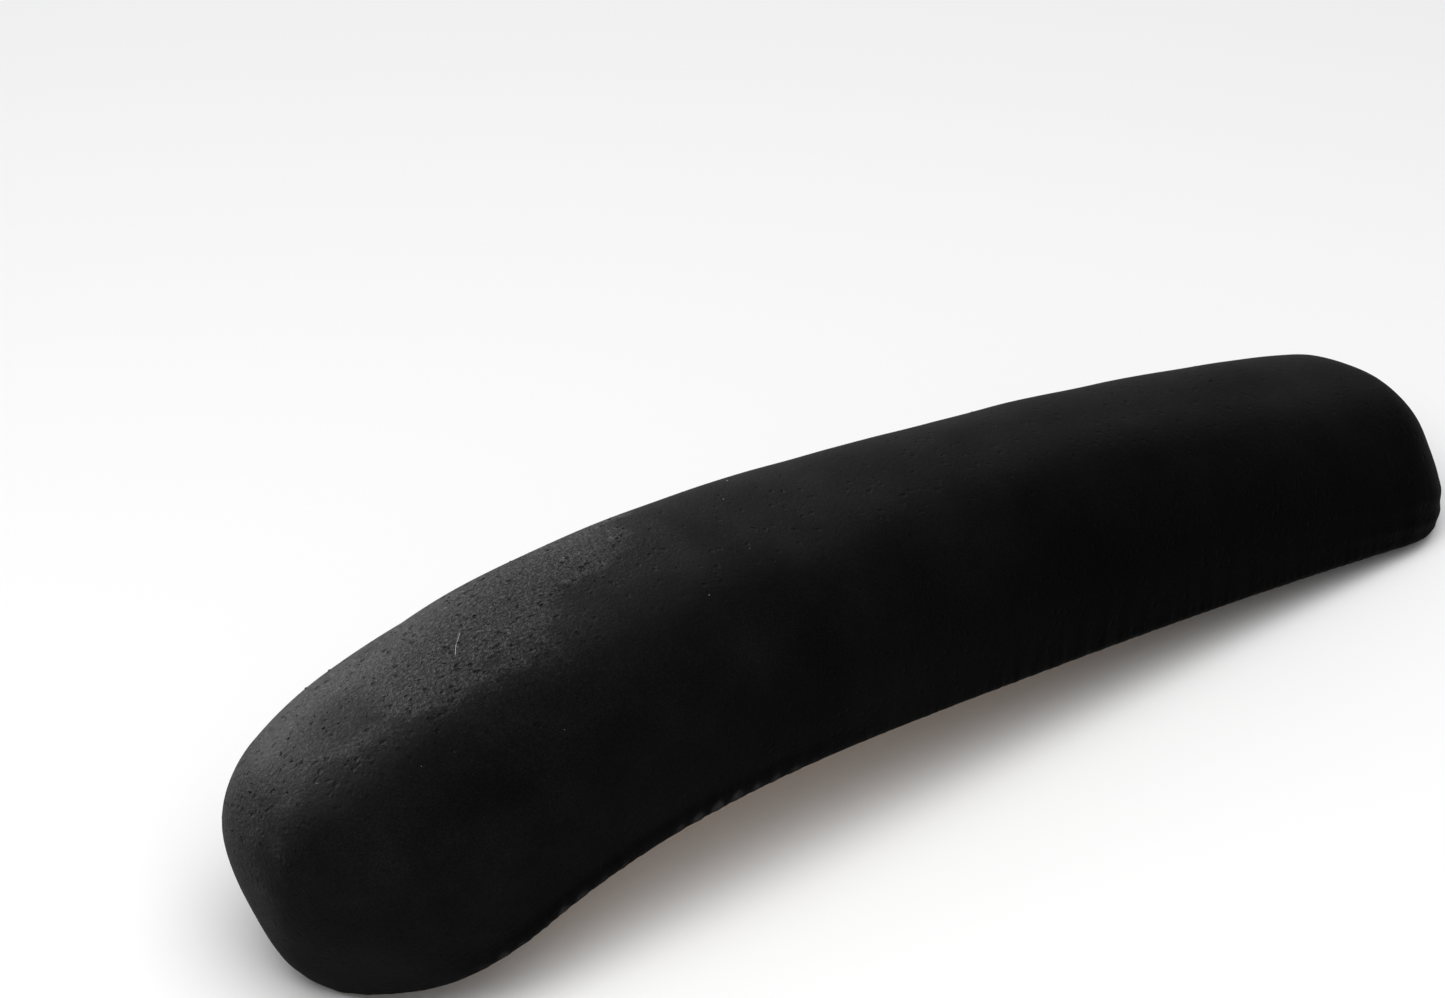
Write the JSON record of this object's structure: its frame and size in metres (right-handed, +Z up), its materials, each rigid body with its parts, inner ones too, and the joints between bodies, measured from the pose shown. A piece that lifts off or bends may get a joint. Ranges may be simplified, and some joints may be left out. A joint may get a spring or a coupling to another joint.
{
  "type": "chair armrest pad",
  "caption": "Curved office chair armrest pad in a black stretch-knit slip cover with an elasticated hem, on a plywood carrier with tee nuts.",
  "frame": {"origin": "on the ground, under the middle of the pad, which stands on the rims of its two ends", "axes": "+X from the rear end to the drooping nose, +Y across the pad, +Z up"},
  "size_m": [0.359, 0.081, 0.0802],
  "materials": {
    "cover_knit": "black stretch knit with a short brushed pile",
    "elastic_band": "black braided elastic",
    "liner_cloth": "dark spun-bonded cloth",
    "wadding": "lofty white polyester fibre",
    "comfort_foam": "soft open-cell foam",
    "core_foam": "firm grey bonded foam",
    "plywood": "bare moulded plywood",
    "zinc_steel": "bright zinc plate"
  },
  "bodies": {
    "root": {"slip_cover": "cover_knit", "hem_casing": "cover_knit", "hem_elastic": "elastic_band", "inner_liner": "liner_cloth", "wadding_layer": "wadding", "comfort_foam": "comfort_foam", "core_foam": "core_foam", "carrier_board": "plywood", "t_nut_rear": "zinc_steel", "t_nut_middle": "zinc_steel", "t_nut_front": "zinc_steel", "staple_01": "zinc_steel", "staple_02": "zinc_steel", "staple_03": "zinc_steel", "staple_04": "zinc_steel", "staple_05": "zinc_steel", "staple_06": "zinc_steel", "staple_07": "zinc_steel", "staple_08": "zinc_steel", "staple_09": "zinc_steel", "staple_10": "zinc_steel", "staple_11": "zinc_steel", "staple_12": "zinc_steel", "staple_13": "zinc_steel", "staple_14": "zinc_steel", "staple_15": "zinc_steel", "staple_16": "zinc_steel", "staple_17": "zinc_steel", "staple_18": "zinc_steel", "staple_19": "zinc_steel", "staple_20": "zinc_steel"}
  },
  "joints": []
}
